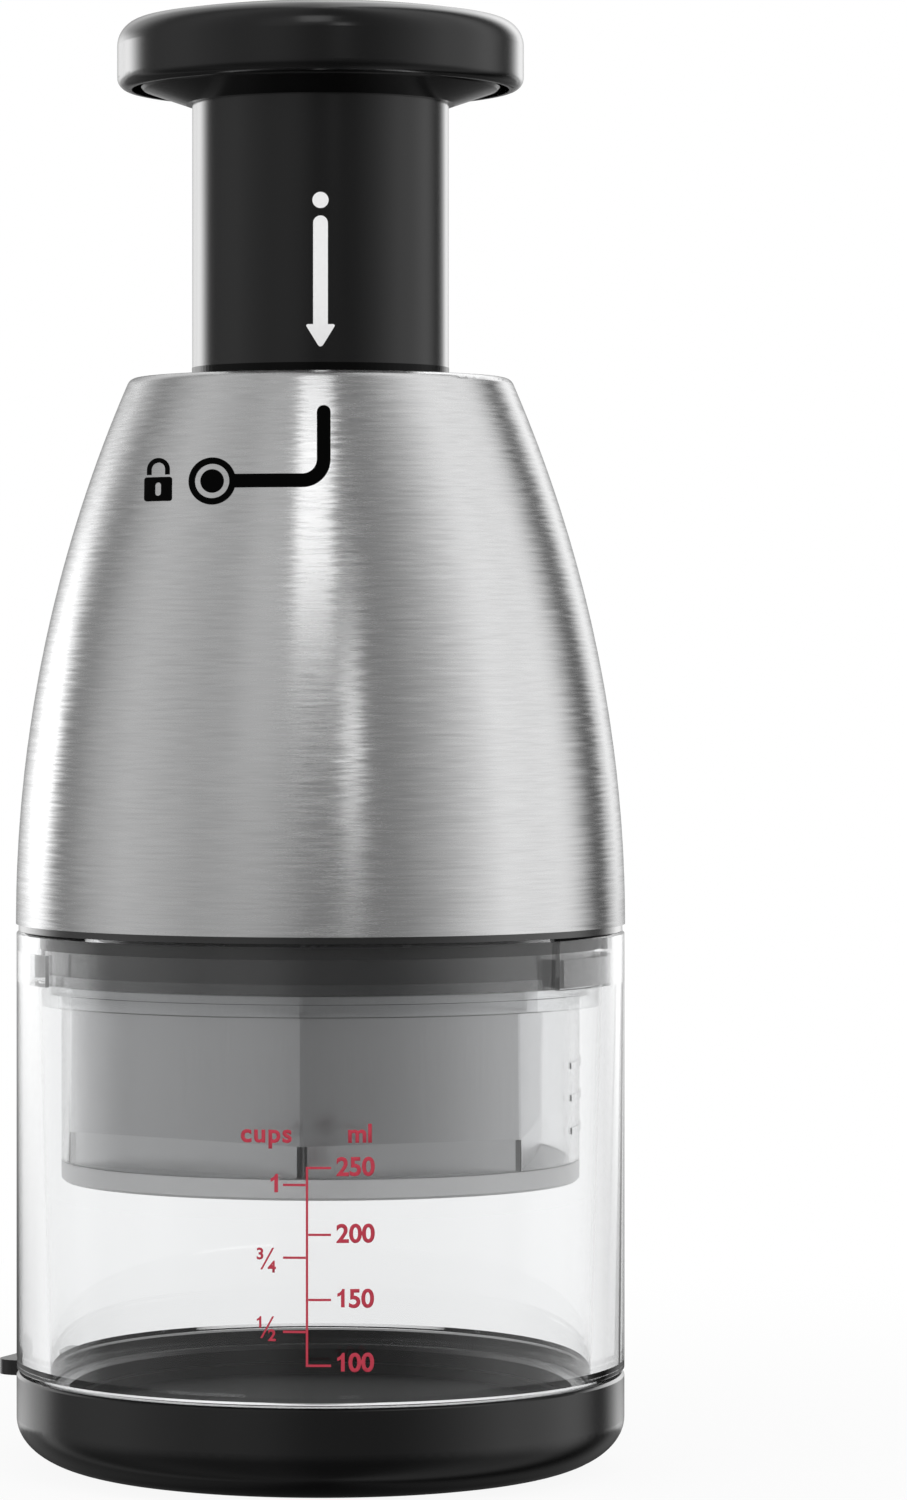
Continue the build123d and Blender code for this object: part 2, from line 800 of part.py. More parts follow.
# Spring seat: disc that the spring lifts and the stem pushes down
with BuildPart() as spring_seat:
    with BuildSketch(Plane.XY.offset(seat_bottom_z)):
        Circle(stem_bore - seat_margin)
        Circle(journal_radius + running_gap, mode=Mode.SUBTRACT)
    extrude(amount=seat_thickness)
finish(spring_seat, "spring_seat")

# Circlip: open ring that keeps the spindle on the spring seat
with BuildPart() as spindle_circlip:
    clip = sector_face(
        circlip_groove_z,
        journal_radius - circlip_groove_depth + seat_gap,
        circlip_radius,
        circlip_mouth / 2,
        360 - circlip_mouth,
    )
    extrude(clip, amount=circlip_thickness)
finish(spindle_circlip, "spindle_circlip")

# Stem: tube with two lugs at its foot, an inner web over the spring seat and a roof under the knob
with BuildPart() as stem_tube:
    web_hole = circlip_radius + circlip_margin
    web_top_z = seat_top_z + stem_web_thickness
    stem_neck_radius = stem_radius - stem_top_inset
    revolve(
        lathe_face(
            (stem_radius, stem_bottom_z),
            (stem_radius, stem_step_z),
            (stem_neck_radius, stem_step_z),
            (stem_neck_radius, stem_top_z),
            (0, stem_top_z),
            (0, stem_roof_z),
            (stem_bore, stem_roof_z),
            (stem_bore, web_top_z),
            (web_hole, web_top_z),
            (web_hole, seat_top_z),
            (stem_bore, seat_top_z),
            (stem_bore, stem_bottom_z),
        ),
        axis=Axis.Z,
    )
    for side_angle in (0, 180):
        stem_lug = sector_face(
            stem_bottom_z,
            (stem_bore + stem_radius) / 2,
            stem_lug_radius,
            side_angle - stem_lug_width / 2,
            stem_lug_width,
        )
        extrude(stem_lug, amount=stem_lug_height)
    with BuildSketch(Plane.XY.offset(seat_top_z)):
        with PolarLocations(knob_screw_circle, knob_screw_count):
            Circle(knob_screw_head_radius + running_gap)
    extrude(amount=stem_web_thickness, mode=Mode.SUBTRACT)
    with BuildSketch(Plane.XY.offset(stem_roof_z)):
        with PolarLocations(knob_screw_circle, knob_screw_count):
            Circle(knob_screw_radius + thread_gap)
    extrude(amount=stem_top_thickness, mode=Mode.SUBTRACT)
finish(stem_tube, "stem_tube")

# Knob plate: cone under the knob, seated on the step of the stem
with BuildPart() as knob_plate:
    plate_bore = stem_neck_radius + seat_gap
    plate_collar = stem_radius + seat_gap
    plate_rim_z = plate_bottom_z + plate_rise
    revolve(
        lathe_face(
            (plate_bore, stem_step_z),
            (plate_collar, stem_step_z),
            (plate_collar, plate_bottom_z),
            (plate_collar + plate_collar_width, plate_bottom_z),
            (plate_radius - edge_break, plate_rim_z),
            (plate_radius, plate_rim_z + edge_break),
            (plate_radius, plate_rim_z + plate_edge),
            (plate_collar + plate_collar_width, stem_top_z),
            (plate_bore, stem_top_z),
        ),
        axis=Axis.Z,
    )
finish(knob_plate, "knob_plate")

# Knob cap: domed palm button
with BuildPart() as knob_cap:
    dome_drop = knob_dome_radius - math.sqrt(knob_dome_radius**2 - knob_radius**2)
    knob_edge_z = knob_top_z - dome_drop
    knob_bore = knob_radius - knob_wall
    knob_ceiling_z = knob_top_z - knob_roof
    rib_outer = stem_radius + plate_collar_width
    rib_inner = rib_outer - knob_rib_width
    with BuildSketch(Plane.XZ) as knob_section:
        with BuildLine():
            RadiusArc((0, knob_top_z), (knob_radius, knob_edge_z), knob_dome_radius)
            Polyline(
                (knob_radius, knob_edge_z),
                (knob_radius, knob_bottom_z),
                (knob_bore, knob_bottom_z),
                (knob_bore, knob_ceiling_z),
                (rib_outer, knob_ceiling_z),
                (rib_outer, stem_top_z),
                (rib_inner, stem_top_z),
                (rib_inner, knob_ceiling_z),
                (0, knob_ceiling_z),
                (0, knob_top_z),
            )
        make_face()
        top_corner = knob_section.vertices().sort_by_distance((knob_radius, knob_edge_z))[0]
        fillet(top_corner, radius=knob_top_fillet)
        lip_corner = knob_section.vertices().sort_by_distance((knob_radius, knob_bottom_z))[0]
        fillet(lip_corner, radius=knob_lip_fillet)
    revolve(axis=Axis.Z)
    with BuildSketch(Plane.XY.offset(stem_top_z)):
        with PolarLocations(knob_screw_circle, knob_screw_count):
            Circle(knob_screw_radius + knob_boss_wall)
    extrude(amount=knob_ceiling_z - stem_top_z)
    with BuildSketch(Plane.XY.offset(stem_top_z)):
        with PolarLocations(knob_screw_circle, knob_screw_count):
            Circle(knob_screw_radius + thread_gap)
    extrude(amount=knob_screw_bite + edge_break, mode=Mode.SUBTRACT)
finish(knob_cap, "knob_cap")

# Knob screws: from inside the stem up into the knob
with BuildPart() as knob_screws:
    with BuildSketch(Plane.XY.offset(stem_roof_z - knob_screw_head_height)):
        with PolarLocations(knob_screw_circle, knob_screw_count):
            Circle(knob_screw_head_radius)
    extrude(amount=knob_screw_head_height)
    with BuildSketch(Plane.XY.offset(stem_roof_z)):
        with PolarLocations(knob_screw_circle, knob_screw_count):
            Circle(knob_screw_radius)
    extrude(amount=stem_top_thickness + knob_screw_bite)
finish(knob_screws, "knob_screws")

# Return spring: wound wire between the index nut and the spring seat
spring_bottom_z = nut_top_z + spring_wire / 2 + seat_gap
spring_top_z = seat_bottom_z - spring_wire / 2 - seat_gap
spring_rise = spring_top_z - spring_bottom_z
open_turns = spring_turns - spring_end_turns * 2
open_pitch = (spring_rise - spring_end_pitch * spring_end_turns * 2) / open_turns
quarter = 0.25


def spring_pitch(turn):
    """Rise per turn of the wire, close at both ends and open between."""
    if turn < spring_end_turns or turn > spring_turns - spring_end_turns:
        return spring_end_pitch
    return open_pitch


def spring_height(turn):
    """Height of the wire's middle after a number of turns."""
    low = min(turn, spring_end_turns)
    middle = min(max(turn - spring_end_turns, 0), open_turns)
    high = max(turn - spring_end_turns - open_turns, 0)
    return spring_bottom_z + (low + high) * spring_end_pitch + middle * open_pitch


def spring_point(turn):
    """Middle of the wire after a number of turns."""
    angle = 2 * math.pi * turn
    return Vector(spring_radius * math.cos(angle), spring_radius * math.sin(angle), spring_height(turn))


def spring_direction(turn):
    """Direction of the wire after a number of turns, with the mean pitch of both sides."""
    angle = 2 * math.pi * turn
    pitch = (spring_pitch(max(turn - quarter, 0)) + spring_pitch(min(turn + quarter, spring_turns))) / 2
    slope = pitch / (2 * math.pi)
    return Vector(-spring_radius * math.sin(angle), spring_radius * math.cos(angle), slope).normalized()


def biarc_middle(start, start_way, end, end_way):
    """Point where two arcs of equal reach meet, tangent to both ends and to each other."""
    chord = end - start
    a = 2 * (start_way.dot(end_way) - 1)
    b = -2 * chord.dot(start_way + end_way)
    c = chord.dot(chord)
    reach = (-b - math.sqrt(b * b - 4 * a * c)) / (2 * a)
    return (start + start_way * reach + end - end_way * reach) * 0.5


with BuildPart() as return_spring:
    with BuildLine() as wire_path:
        for step in range(int(spring_turns / quarter)):
            turn = step * quarter
            start_way = spring_direction(turn)
            end_way = spring_direction(turn + quarter)
            start = spring_point(turn)
            end = spring_point(turn + quarter)
            middle = biarc_middle(start, start_way, end, end_way)
            TangentArc(start, middle, tangent=start_way)
            TangentArc(end, middle, tangent=end_way * -1)
    with BuildSketch(Plane(spring_point(0), z_dir=spring_direction(0))):
        Circle(spring_wire / 2)
    sweep(path=wire_path.wire())
finish(return_spring, "return_spring")

samples_per_turn = 24
middles = [spring_point(step / samples_per_turn) for step in range(spring_turns * samples_per_turn + 1)]
near_turn = samples_per_turn // 2
least = min(
    (middles[j] - middles[i]).length
    for i in range(len(middles))
    for j in range(i + near_turn, len(middles))
)
print("least gap between spring turns", round(least - spring_wire, 3))
print("press stroke", round(press_stroke, 3), "height", round(knob_top_z, 3))
print("spring volume", round(return_spring.part.volume, 1))
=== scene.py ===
"""Looks of the push-down vegetable chopper: finishes of its pieces, its printed marks, light and camera."""

import json
import math

import bpy
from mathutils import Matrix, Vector


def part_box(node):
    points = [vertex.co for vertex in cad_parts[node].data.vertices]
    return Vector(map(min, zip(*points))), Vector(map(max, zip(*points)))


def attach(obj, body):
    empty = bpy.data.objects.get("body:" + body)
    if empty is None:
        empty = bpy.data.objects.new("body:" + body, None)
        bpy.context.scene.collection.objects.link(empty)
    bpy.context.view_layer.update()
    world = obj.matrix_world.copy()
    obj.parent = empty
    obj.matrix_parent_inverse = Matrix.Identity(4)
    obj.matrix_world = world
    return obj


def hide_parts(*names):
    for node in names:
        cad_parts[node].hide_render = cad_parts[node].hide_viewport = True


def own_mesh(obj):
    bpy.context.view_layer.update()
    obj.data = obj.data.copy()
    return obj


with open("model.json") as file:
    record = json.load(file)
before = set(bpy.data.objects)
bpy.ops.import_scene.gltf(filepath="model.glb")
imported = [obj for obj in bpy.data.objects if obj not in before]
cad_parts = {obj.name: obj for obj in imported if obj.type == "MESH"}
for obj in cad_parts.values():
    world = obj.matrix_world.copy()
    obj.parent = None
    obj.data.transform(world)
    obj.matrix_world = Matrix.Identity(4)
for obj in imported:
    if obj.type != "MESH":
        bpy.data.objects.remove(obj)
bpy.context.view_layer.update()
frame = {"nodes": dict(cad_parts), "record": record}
nodes = frame["nodes"]

MM = 0.001

# Camera, fitted to the photograph: frame in pixels, sizes in millimetres
FRAME_WIDTH = 907
FOCAL_PIXELS = 5800.0
AXIS_COLUMN = 320.5
EYE_ROW = 650.0
FRAME_CENTRE = (453.5, 750.0)
CAMERA_DISTANCE = 879.0
EYE_HEIGHT = 123.6
SENSOR_WIDTH = 36.0
NEAREST_SEEN = 50.0

# Moulded plastic: its refraction, and how its gloss and grain vary
PLASTIC_INDEX = 1.52
GLOSS_SPOTS = 60.0
GLOSS_SWING = 0.025
GRAIN_DETAIL = 2.0

# Depth of the fine relief of plastics and metals, in millimetres
RELIEF_DEPTH = 0.02

# Brushed steel: scratches to the radian and to the metre, and how much they vary in tone, gloss and height
BRUSH_TURN = 0.25
EDGE_TINT = (0.45, 0.45, 0.45, 1)
SCRATCHES = (6.0, 2600.0)
SCRATCH_DETAIL = 3.0
SCRATCH_SOFTNESS = 0.6
SCRATCH_RANGE = (0.3, 0.7)
SCRATCH_TONES = (0.9, 1.08)
SCRATCH_SWING = 0.06
SCRATCH_RELIEF = 0.1
SCRATCH_DEPTH = 0.03
TILTS = (3.0, 2200.0)
TILT_DETAIL = 2.0
TILT_SOFTNESS = 0.5

# Clear plastic: refraction, ripple of the moulded wall and colour of a wall seen edge on
CLEAR_INDEX = 1.5
RIPPLE_SPOTS = 90.0
RIPPLE_DETAIL = 1.0
RIPPLE_RELIEF = 0.02
WALL_COLOUR = (0.78, 0.8, 0.81, 1)

# Bare metal: how much its gloss and height vary
METAL_SWING = 0.06
METAL_RELIEF = 0.06

# Printed ink: how evenly it covers
INK_SPOTS = 1500.0
INK_TONES = (0.93, 1.0)

# Wiper cup: its floor, its six sided ring, and the plastic of both
CUP_FLOOR_TOP = 46.95
CUP_RING_TOP = 51.65
CUP_RING_RADIUS = 37.6
CUP_INDEX = 1.45
CUP_SPOTS = 45.0
CUP_TONES = (0.97, 1.0)
CUP_GRAIN = 1800.0
CUP_RELIEF = 0.04

# Blade skirt: upright grain of its sheet
SHEET_GRAIN = 300.0
SHEET_STRETCH = (8.0, 8.0, 0.25)
SHEET_TONES = (0.95, 1.05)
SHEET_SWING = 0.04

# Printed marks: how far the ink stands off the surface, its thickness, the width of the strips that bend
# with the surface, and how far in front of it a mark starts
INK_GAP = 0.02
INK_THICKNESS = 0.03
INK_STRIP = 0.8
INK_START = 5.0

# Points on the rounded parts of the marks
ARC_STEPS = 16
CORNER_STEPS = 6
KEY_STEPS = 8
CIRCLE_STEPS = 48

# White dot and arrow on the stem
DOT_HEIGHT = 190.3
DOT_RADIUS = 1.2
ARROW_TOP = 188.0
ARROW_NECK = 171.9
ARROW_TIP = 168.6
ARROW_SHAFT_WIDTH = 2.18
ARROW_HEAD_WIDTH = 4.2
ARROW_ROUNDING = 0.45
ARROW_LEAN = 35

# Painted shadow: dark band round the foot of the stem, just above the shell
STEM_RADIUS = 19.44
SHADOW_BAND_BOTTOM = 164.9
SHADOW_BAND_TOP = 166.3
SHADOW_BAND_STEPS = 128

# Return spring: how near points are merged, and the angle of an edge that stays sharp
SPRING_MERGE = 0.002
SPRING_EDGE_ANGLE = 40.0

# Black lock track on the steel shell
TRACK_WIDTH = 2.0
TRACK_X = 0.47
TRACK_TOP = 159.4
TRACK_BEND_HEIGHT = 148.3
TRACK_BEND_RADIUS = 3.1
RING_X = -15.84
RING_OUTER = 3.48
RING_INNER = 2.54
RING_DOT = 1.73

# Black open padlock beside the track
LOCK_X = -23.87
LOCK_HEIGHT = 147.25
LOCK_BODY_WIDTH = 4.18
LOCK_BODY_HEIGHT = 3.58
LOCK_ROUNDING = 0.4
LOCK_KEY_WIDTH = 0.9
LOCK_KEY_HEIGHT = 2.0
SHACKLE_WIDTH = 3.42
SHACKLE_STROKE = 0.68
SHACKLE_TOP = 151.9
SHACKLE_FOOT = 149.4

# Red scale on the container: its lines and the heights of its marks
SCALE_X = -1.94
SCALE_STROKE = 0.34
SCALE_RIGHT = 1.51
SCALE_LEFT = -5.39
TICK_GAP = 0.02
ML_HEIGHTS = {"250": 49.2, "200": 39.6, "150": 30.25, "100": 20.8}
CUP_HEIGHTS = {"1": 46.75, "3/4": 36.3, "1/2": 25.65}

# Its numbers and units; the outline of a one is in shares of the digit's height
ML_TEXT_X = 2.25
CUP_TEXT_X = -6.1
TEXT_SIZE = 3.7
TEXT_SPREAD = 1.12
TEXT_WEIGHT = 0.058
LETTER_MERGE = 0.03
DIGIT_HEIGHT = 2.65
DIGIT_STEP = 1.75
DIGIT_SHARE = DIGIT_HEIGHT / TEXT_SIZE
ONE_RIGHT = 0.46
ONE_OUTLINE = [
    (ONE_RIGHT, 0), (ONE_RIGHT, 1), (0.32, 1), (0.28, 0.9), (0.19, 0.81), (0.06, 0.75), (0.06, 0.57),
    (0.17, 0.61), (0.26, 0.67), (0.26, 0),
]
LABEL_LIFT = {"100": 0.5, "1/2": 0.8}
LABEL_LIFT_USUAL = 0.25
FRACTION_SIZE = 2.3
FRACTION_LEFT = -9.25
FRACTION_RIGHT = -7.55
FRACTION_RISE = -0.25
FRACTION_DROP = -2.1
SLASH_X = -7.8
SLASH_LEAN = 0.85
SLASH_TOP = 1.4
SLASH_FOOT = -1.75
SLASH_WIDTH = 0.3
UNIT_HEIGHT = 52.9
UNIT_ML_X = 3.85
UNIT_CUPS_X = -11.5

# Floor, in metres: white as it is seen, with a share of soft shadow that ends at a distance from the chopper
FLOOR_SIZE = 8.0
FLOOR_COLOUR = (0.8, 0.8, 0.8, 1)
FLOOR_ROUGHNESS = 0.9
FLOOR_WHITE = 0.92
SHADOW_REACH = (0.05, 0.3)
WHITE = (1, 1, 1, 1)

# Studio: brightness of the panels round the chopper by azimuth in degrees, 0 to the front and 90 to the right
PANELS = {
    -180: 0.35, -168: 0.65, -160: 1.35, -152: 1.8, -144: 2.0, -136: 1.85, -128: 1.0, -122: 0.42, -117: 0.25,
    -110: 0.25, -96: 0.4, -80: 0.5, -48: 0.36, -32: 0.38, -20: 0.35, -4: 0.2, 20: 0.19, 32: 0.23, 48: 0.4,
    64: 0.66, 74: 0.82, 90: 0.78, 104: 0.84, 112: 0.74, 120: 0.4, 127: 0.12, 135: 0.15, 144: 1.2, 152: 2.0,
    160: 1.6, 168: 0.75, 180: 0.35,
}
PANEL_PEAK = 2.0
ROOM_LIGHT = 0.65

# Shades over the panels: the share that they take away, and where they set in by height, the sine of the
# elevation, and by azimuth in radians
LEFT_SHADE = 0.6
LEFT_SHADE_HEIGHT = (0.1, 0.3)
LEFT_SHADE_SIDE = (-2.0, -2.3)
BACK_SHADE = 0.88
BACK_SHADE_HEIGHT = (-0.02, -0.14)
BACK_SHADE_SIDE = (2.1, 2.4)
BASE_BAND = 0.5
BASE_BAND_TOP = (-0.122, -0.128)
BASE_BAND_FOOT = (-0.15, -0.2)
LOW_SHADE = 0.65
LOW_SHADE_HEIGHT = (-0.1, -0.6)

# Light high up at the back, and where the backdrop begins
BACK_LIGHT = 0.7
BACK_LIGHT_HEIGHT = (0.12, 0.5)
BACK_LIGHT_SIDE = (2.6, 2.9)
BACKDROP_SIDE = (1.6, 1.9)

# Soft windows among the panels: brightness, where each begins and ends by azimuth, and then by height
WINDOWS = {
    "left_glow": (0.11, (-0.7, -0.45), (-0.2, -0.1), (0.1, 0.25), (0.55, 0.8)),
    "edge_strip": (1.65, (-2.06, -2.32), (-2.39, -2.62), (0.0, 0.03), (0.115, 0.15)),
    "front_window": (1.9, (0.1, 0.18), (0.24, 0.32), (0.15, 0.24), (0.28, 0.37)),
}

# Soft lamps: place, aim and size in metres, power in watts, and whether shiny pieces mirror them
LAMPS = {
    "key_lamp": ((0.7, -1.0, 1.0), (0, 0, 0.1), (0.8, 0.8), 5.5, False),
    "fill_lamp": ((-0.9, -0.8, 0.6), (0, 0, 0.1), (0.8, 0.8), 2.8, False),
    "streak_lamp": ((-0.04, -0.75, 0.72), (0, 0, 0.14), (0.25, 0.42), 0.41, True),
}


def new_finish(name):
    """New material, with the recipe of its steps and its shader."""
    finish = bpy.data.materials.new(name)
    finish.use_nodes = True
    recipe = finish.node_tree
    return finish, recipe, recipe.nodes["Principled BSDF"]


def add_step(recipe, kind, **settings):
    """Step of a recipe, with its inputs or properties set by name."""
    step = recipe.nodes.new(kind)
    for name, value in settings.items():
        if name in step.inputs:
            step.inputs[name].default_value = value
        else:
            setattr(step, name, value)
    return step


def work_out(recipe, operation, first, second=None):
    """Result of a sum on values of a recipe or plain numbers."""
    step = add_step(recipe, "ShaderNodeMath", operation=operation)
    for socket, value in zip(step.inputs, (first, second)):
        if value is None:
            continue
        if isinstance(value, (int, float)):
            socket.default_value = value
        else:
            recipe.links.new(value, socket)
    return step.outputs[0]


def spread(recipe, value, low, high, start=0.0, end=1.0, ends="LINEAR"):
    """Value that goes from low to high while another goes from start to end."""
    step = add_step(recipe, "ShaderNodeMapRange", interpolation_type=ends)
    for name, number in (("From Min", start), ("From Max", end), ("To Min", low), ("To Max", high)):
        step.inputs[name].default_value = number
    recipe.links.new(value, step.inputs["Value"])
    return step.outputs["Result"]


def mottle(recipe, spots, detail=3.0, stretch=(1.0, 1.0, 1.0)):
    """Uneven spots on a piece, so many to the metre, stretched along its axes."""
    place = recipe.nodes.new("ShaderNodeTexCoord")
    mapping = add_step(recipe, "ShaderNodeMapping", Scale=stretch)
    noise = add_step(recipe, "ShaderNodeTexNoise", Scale=spots, Detail=detail)
    recipe.links.new(place.outputs["Object"], mapping.inputs["Vector"])
    recipe.links.new(mapping.outputs["Vector"], noise.inputs["Vector"])
    return noise.outputs["Fac"]


def vary_gloss(recipe, shader, share, roughness, swing):
    """Roughness that varies a little to both sides."""
    recipe.links.new(spread(recipe, share, roughness - swing, roughness + swing), shader.inputs["Roughness"])


def vary_colour(recipe, shader, share, colour, tones):
    """Colour that varies between a darker and a lighter tone of itself."""
    dark, light = tones
    tint = add_step(recipe, "ShaderNodeMix", data_type="RGBA")
    tint.inputs["A"].default_value = (*[part * dark for part in colour], 1)
    tint.inputs["B"].default_value = (*[min(part * light, 1) for part in colour], 1)
    recipe.links.new(share, tint.inputs["Factor"])
    recipe.links.new(tint.outputs["Result"], shader.inputs["Base Color"])


def raise_relief(recipe, height, strength, depth):
    """Normal of a fine relief from a height, its depth in metres."""
    bump = add_step(recipe, "ShaderNodeBump", Strength=strength, Distance=depth)
    recipe.links.new(height, bump.inputs["Height"])
    return bump.outputs["Normal"]


def piece_place(recipe):
    """Place on a piece along its own axes."""
    place = recipe.nodes.new("ShaderNodeTexCoord")
    split = recipe.nodes.new("ShaderNodeSeparateXYZ")
    recipe.links.new(place.outputs["Object"], split.inputs["Vector"])
    return split.outputs


def squared_reach(recipe, place):
    """Square of the distance from the chopper's axis."""
    across = work_out(recipe, "MULTIPLY", place["X"], place["X"])
    along = work_out(recipe, "MULTIPLY", place["Y"], place["Y"])
    return work_out(recipe, "ADD", across, along)


def scratch_lines(recipe, around, height, density, detail, softness):
    """Long lines round the axis, so many to the radian and to the metre of height."""
    to_radian, to_metre = density
    join = recipe.nodes.new("ShaderNodeCombineXYZ")
    recipe.links.new(work_out(recipe, "MULTIPLY", around, to_radian), join.inputs["X"])
    recipe.links.new(work_out(recipe, "MULTIPLY", height, to_metre), join.inputs["Y"])
    noise = add_step(recipe, "ShaderNodeTexNoise", Scale=1.0, Detail=detail, Roughness=softness)
    recipe.links.new(join.outputs["Vector"], noise.inputs["Vector"])
    return noise.outputs["Fac"]


def moulded_plastic(name, colour, roughness, grain=2600.0, relief=0.05, wax=0.0, wax_index=1.2, shine=0.5):
    """Moulded plastic: a fine spark-eroded grain and slightly uneven gloss."""
    finish, recipe, shader = new_finish(name)
    shader.inputs["Base Color"].default_value = (*colour, 1)
    shader.inputs["IOR"].default_value = PLASTIC_INDEX
    shader.inputs["Specular IOR Level"].default_value = shine
    shader.inputs["Coat Weight"].default_value = wax
    shader.inputs["Coat Roughness"].default_value = roughness
    shader.inputs["Coat IOR"].default_value = wax_index
    vary_gloss(recipe, shader, mottle(recipe, GLOSS_SPOTS), roughness, GLOSS_SWING)
    normal = raise_relief(recipe, mottle(recipe, grain, GRAIN_DETAIL), relief, RELIEF_DEPTH * MM)
    recipe.links.new(normal, shader.inputs["Normal"])
    return finish


def brushed_steel(name, colour, roughness, anisotropy, scratch_lean):
    """Stainless steel brushed round the axis: long scratches, each a little lighter, rougher or tilted."""
    finish, recipe, shader = new_finish(name)
    shader.inputs["Metallic"].default_value = 1.0
    shader.inputs["Anisotropic"].default_value = anisotropy
    shader.inputs["Anisotropic Rotation"].default_value = BRUSH_TURN
    shader.inputs["Specular Tint"].default_value = EDGE_TINT
    place = piece_place(recipe)
    around = work_out(recipe, "ARCTAN2", place["Y"], place["X"])
    scratches = scratch_lines(recipe, around, place["Z"], SCRATCHES, SCRATCH_DETAIL, SCRATCH_SOFTNESS)
    lines = spread(recipe, scratches, 0.0, 1.0, *SCRATCH_RANGE)
    vary_colour(recipe, shader, lines, colour, SCRATCH_TONES)
    vary_gloss(recipe, shader, lines, roughness, SCRATCH_SWING)
    tangent = add_step(recipe, "ShaderNodeTangent", direction_type="RADIAL", axis="Z")
    recipe.links.new(tangent.outputs["Tangent"], shader.inputs["Tangent"])
    normal = raise_relief(recipe, lines, SCRATCH_RELIEF, SCRATCH_DEPTH * MM)
    tilts = scratch_lines(recipe, around, place["Z"], TILTS, TILT_DETAIL, TILT_SOFTNESS)
    tilt = add_step(recipe, "ShaderNodeVectorMath", operation="SCALE")
    recipe.links.new(tangent.outputs["Tangent"], tilt.inputs[0])
    recipe.links.new(spread(recipe, tilts, -scratch_lean, scratch_lean), tilt.inputs["Scale"])
    tilted = add_step(recipe, "ShaderNodeVectorMath", operation="ADD")
    recipe.links.new(normal, tilted.inputs[0])
    recipe.links.new(tilt.outputs["Vector"], tilted.inputs[1])
    evened = add_step(recipe, "ShaderNodeVectorMath", operation="NORMALIZE")
    recipe.links.new(tilted.outputs["Vector"], evened.inputs[0])
    recipe.links.new(evened.outputs["Vector"], shader.inputs["Normal"])
    return finish


def clear_plastic(name, colour, roughness, density):
    """Polished clear plastic with the faint ripple of a moulded wall, darker where it is seen edge on."""
    finish, recipe, shader = new_finish(name)
    shader.inputs["Base Color"].default_value = (*colour, 1)
    shader.inputs["Transmission Weight"].default_value = 1.0
    shader.inputs["IOR"].default_value = CLEAR_INDEX
    shader.inputs["Roughness"].default_value = roughness
    ripple = mottle(recipe, RIPPLE_SPOTS, RIPPLE_DETAIL)
    normal = raise_relief(recipe, ripple, RIPPLE_RELIEF, RELIEF_DEPTH * MM)
    recipe.links.new(normal, shader.inputs["Normal"])
    depth = add_step(recipe, "ShaderNodeVolumeAbsorption", Color=WALL_COLOUR, Density=density)
    recipe.links.new(depth.outputs["Volume"], recipe.nodes["Material Output"].inputs["Volume"])
    return finish


def bare_metal(name, colour, roughness, grain):
    """Plain machined or plated metal with a fine grain."""
    finish, recipe, shader = new_finish(name)
    shader.inputs["Metallic"].default_value = 1.0
    shader.inputs["Base Color"].default_value = (*colour, 1)
    wear = mottle(recipe, grain)
    vary_gloss(recipe, shader, wear, roughness, METAL_SWING)
    normal = raise_relief(recipe, wear, METAL_RELIEF, RELIEF_DEPTH * MM)
    recipe.links.new(normal, shader.inputs["Normal"])
    return finish


def printed_ink(name, colour, shine, roughness=0.5):
    """Screen printed ink: a slightly uneven cover, matt or with a little shine."""
    finish, recipe, shader = new_finish(name)
    vary_colour(recipe, shader, mottle(recipe, INK_SPOTS), colour, INK_TONES)
    shader.inputs["Specular IOR Level"].default_value = shine
    shader.inputs["Roughness"].default_value = roughness
    return finish


def cup_plastic(name, colour, roughness, ring_clearness, ring_pearl, ring_roughness):
    """Clear plastic cup with a milky floor and a pearly six sided ring."""
    finish, recipe, shader = new_finish(name)
    shader.inputs["IOR"].default_value = CUP_INDEX
    place = piece_place(recipe)
    reach = work_out(recipe, "SQRT", squared_reach(recipe, place))
    outside = work_out(recipe, "GREATER_THAN", reach, CUP_RING_RADIUS * MM)
    over_floor = work_out(recipe, "GREATER_THAN", place["Z"], CUP_FLOOR_TOP * MM)
    over_ring = work_out(recipe, "GREATER_THAN", place["Z"], CUP_RING_TOP * MM)
    wall = work_out(recipe, "MAXIMUM", over_ring, work_out(recipe, "MULTIPLY", outside, over_floor))
    ring = work_out(recipe, "SUBTRACT", over_floor, wall)
    recipe.links.new(spread(recipe, wall, ring_clearness, 1.0), shader.inputs["Transmission Weight"])
    recipe.links.new(spread(recipe, ring, 0.0, ring_pearl), shader.inputs["Metallic"])
    recipe.links.new(spread(recipe, wall, ring_roughness, roughness), shader.inputs["Roughness"])
    vary_colour(recipe, shader, mottle(recipe, CUP_SPOTS), colour, CUP_TONES)
    normal = raise_relief(recipe, mottle(recipe, CUP_GRAIN, GRAIN_DETAIL), CUP_RELIEF, RELIEF_DEPTH * MM)
    recipe.links.new(normal, shader.inputs["Normal"])
    return finish


def satin_sheet(name, colour, roughness, bow_radius):
    """Satin rolled sheet steel: a fine upright grain, and flats that bow out slightly between their folds."""
    finish, recipe, shader = new_finish(name)
    shader.inputs["Metallic"].default_value = 1.0
    grain = mottle(recipe, SHEET_GRAIN, stretch=SHEET_STRETCH)
    vary_colour(recipe, shader, grain, colour, SHEET_TONES)
    vary_gloss(recipe, shader, grain, roughness, SHEET_SWING)
    reach = squared_reach(recipe, piece_place(recipe))
    bow = work_out(recipe, "MULTIPLY", reach, -0.5 / (bow_radius * MM))
    recipe.links.new(raise_relief(recipe, bow, 1.0, 1.0), shader.inputs["Normal"])
    return finish


